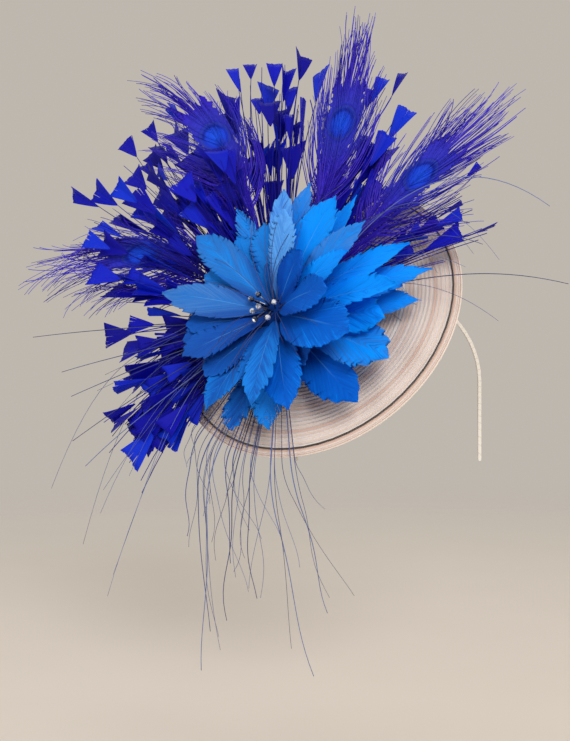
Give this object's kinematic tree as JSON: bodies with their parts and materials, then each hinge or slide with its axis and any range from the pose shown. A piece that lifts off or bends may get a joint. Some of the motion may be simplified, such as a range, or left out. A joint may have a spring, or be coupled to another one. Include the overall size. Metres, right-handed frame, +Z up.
{
  "type": "feather fascinator on a headband",
  "caption": "Domed braid disc tilted on a satin headband, with an azure feather flower, crystal stamens, violet peacock eye feathers, arrow cut sprays and trailing strands",
  "frame": {"origin": "the inner top of the headband, where it sits on the crown of the head", "axes": "+Z is up, -Y is the way the wearer faces, and +X is to the right as seen from the front"},
  "size_m": [0.4552, 0.2502, 0.5584],
  "materials": {
    "ivory_satin": "white satin ribbon",
    "pale_braid": "translucent cream and pink horsehair braid",
    "dark_wire": "thin dark millinery wire",
    "blue_felt": "blue felt",
    "azure_goose_feather": "dyed goose feather with fine barbs",
    "silver_cup": "dark silver wire and cup",
    "clear_stone": "clear faceted glass",
    "violet_peacock": "dyed peacock feather",
    "ultramarine_feather": "dyed arrow cut feather",
    "fine_herl": "stripped herl"
  },
  "bodies": {
    "root": {"arrow_spray_left": "ultramarine_feather", "arrow_spray_low": "ultramarine_feather", "arrow_spray_lower_left": "ultramarine_feather", "arrow_spray_right": "ultramarine_feather", "arrow_spray_top": "ultramarine_feather", "arrow_spray_upper_left": "ultramarine_feather", "arrow_spray_upper_left_back": "ultramarine_feather", "arrow_spray_upper_right": "ultramarine_feather", "crin_disc": "pale_braid", "flower_hub": "blue_felt", "hanging_strands": "fine_herl", "headband": "ivory_satin", "left_strands": "fine_herl", "peacock_feather_1": "violet_peacock", "peacock_feather_2": "violet_peacock", "peacock_feather_3": "violet_peacock", "peacock_feather_4": "violet_peacock", "petal_01": "azure_goose_feather", "petal_02": "azure_goose_feather", "petal_03": "azure_goose_feather", "petal_04": "azure_goose_feather", "petal_05": "azure_goose_feather", "petal_06": "azure_goose_feather", "petal_07": "azure_goose_feather", "petal_08": "azure_goose_feather", "petal_09": "azure_goose_feather", "petal_10": "azure_goose_feather", "petal_11": "azure_goose_feather", "petal_12": "azure_goose_feather", "petal_13": "azure_goose_feather", "petal_14": "azure_goose_feather", "petal_15": "azure_goose_feather", "petal_16": "azure_goose_feather", "petal_17": "azure_goose_feather", "petal_18": "azure_goose_feather", "petal_19": "azure_goose_feather", "petal_20": "azure_goose_feather", "petal_21": "azure_goose_feather", "petal_22": "azure_goose_feather", "petal_23": "azure_goose_feather", "petal_24": "azure_goose_feather", "petal_25": "azure_goose_feather", "petal_26": "azure_goose_feather", "right_strands": "fine_herl", "rim_wire": "dark_wire", "stamen_1": "silver_cup", "stamen_2": "silver_cup", "stamen_3": "silver_cup", "stamen_4": "silver_cup", "stamen_5": "silver_cup", "stamen_6": "silver_cup", "stamen_7": "silver_cup", "stone_1": "clear_stone", "stone_2": "clear_stone", "stone_3": "clear_stone", "stone_4": "clear_stone", "stone_5": "clear_stone", "stone_6": "clear_stone", "stone_7": "clear_stone"}
  },
  "joints": []
}
